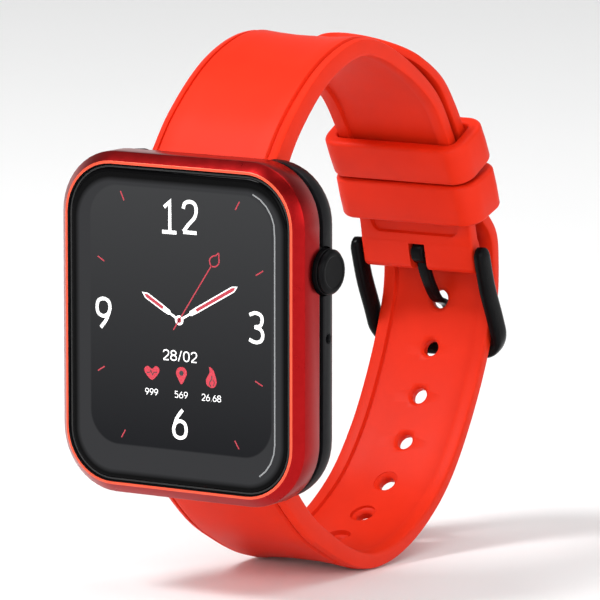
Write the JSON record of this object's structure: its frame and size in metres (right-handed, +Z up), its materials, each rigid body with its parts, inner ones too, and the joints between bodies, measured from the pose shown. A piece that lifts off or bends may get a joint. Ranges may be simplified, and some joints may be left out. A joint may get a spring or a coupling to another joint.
{
  "type": "smart sports watch",
  "caption": "Rectangular smart sports watch with a chamfered anodised case, side push crown and a silicone pin-buckle strap closed into a loop that it stands on",
  "frame": {"origin": "centre of the small flat under the lower strap that the watch stands on", "axes": "+X towards the crown side, +Y from the glass towards the buckle, +Z up"},
  "size_m": [0.0394, 0.0678, 0.0722],
  "materials": {
    "red_anodised": "satin red anodised aluminium with a bright chamfer",
    "black_shell": "satin black moulded shell",
    "glass_black": "gloss black-backed cover glass",
    "display": "dark display panel",
    "seal_rubber": "black seal rubber",
    "plate_metal": "brushed aluminium plate",
    "board": "solder-masked circuit board",
    "chip": "moulded component black",
    "tinned": "tinned steel can",
    "battery_foil": "laminated battery pouch foil",
    "ceramic": "fired ceramic antenna block",
    "gold_contact": "gold-plated contact",
    "steel": "plain stainless steel",
    "black_steel": "gloss black coated steel",
    "red_silicone": "matt red-orange silicone rubber",
    "flex": "amber polyimide flex strip"
  },
  "bodies": {
    "case_and_strap": {"bezel_frame": "red_anodised", "back_case": "black_shell", "rear_cover": "black_shell", "cover_glass": "glass_black", "sensor_window": "glass_black", "display_panel": "display", "glass_gasket": "seal_rubber", "crown_seal": "seal_rubber", "inner_plate": "plate_metal", "main_board": "board", "sensor_board": "board", "processor_chip": "chip", "speaker": "chip", "sensor_leds": "chip", "crown_switch": "chip", "radio_shield": "tinned", "microphone": "tinned", "vibration_motor": "tinned", "battery": "battery_foil", "gps_antenna": "ceramic", "charge_contact_1": "gold_contact", "charge_contact_2": "gold_contact", "rear_screw_1": "steel", "rear_screw_2": "steel", "rear_screw_3": "steel", "rear_screw_4": "steel", "spring_bar_top": "steel", "spring_bar_bottom": "steel", "buckle_pin": "steel", "strap_upper": "red_silicone", "strap_lower": "red_silicone", "display_flex": "flex"},
    "crown": {"crown_cap": "black_steel", "crown_stem": "steel", "crown_clip": "steel"},
    "keeper_upper_body": {"keeper_upper": "red_silicone"},
    "keeper_lower_body": {"keeper_lower": "red_silicone"},
    "buckle": {"buckle_frame": "black_steel"},
    "tang": {"buckle_tang": "black_steel"},
    "motor_rotor": {"vibration_weight": "steel"}
  },
  "joints": [
    {"name": "crown_press", "type": "slide", "parent": "case_and_strap", "child": "crown", "axis": [-1, 0, 0], "range_m": [0, 0.0006], "stiffness_N_per_m": 600},
    {"name": "keeper_upper_slide", "type": "hinge", "parent": "case_and_strap", "child": "keeper_upper_body", "pos_m": [0, -0.02161, 0.03109], "axis": [1, 0, 0], "range_deg": [0, 4]},
    {"name": "keeper_lower_slide", "type": "hinge", "parent": "case_and_strap", "child": "keeper_lower_body", "pos_m": [0, -0.02161, 0.03109], "axis": [1, 0, 0], "range_deg": [-0.4, 0.2]},
    {"name": "buckle_turn", "type": "hinge", "parent": "case_and_strap", "child": "buckle", "pos_m": [0, 0.02566, 0.03943], "axis": [1, 0, 0], "range_deg": [-0.5, 2]},
    {"name": "tang_turn", "type": "hinge", "parent": "case_and_strap", "child": "tang", "pos_m": [0, 0.02566, 0.03943], "axis": [1, 0, 0], "range_deg": [0, 3]},
    {"name": "motor_spin", "type": "hinge", "parent": "case_and_strap", "child": "motor_rotor", "pos_m": [0.0128, -0.02878, 0.02953], "axis": [0, 1, 0], "continuous": true}
  ]
}
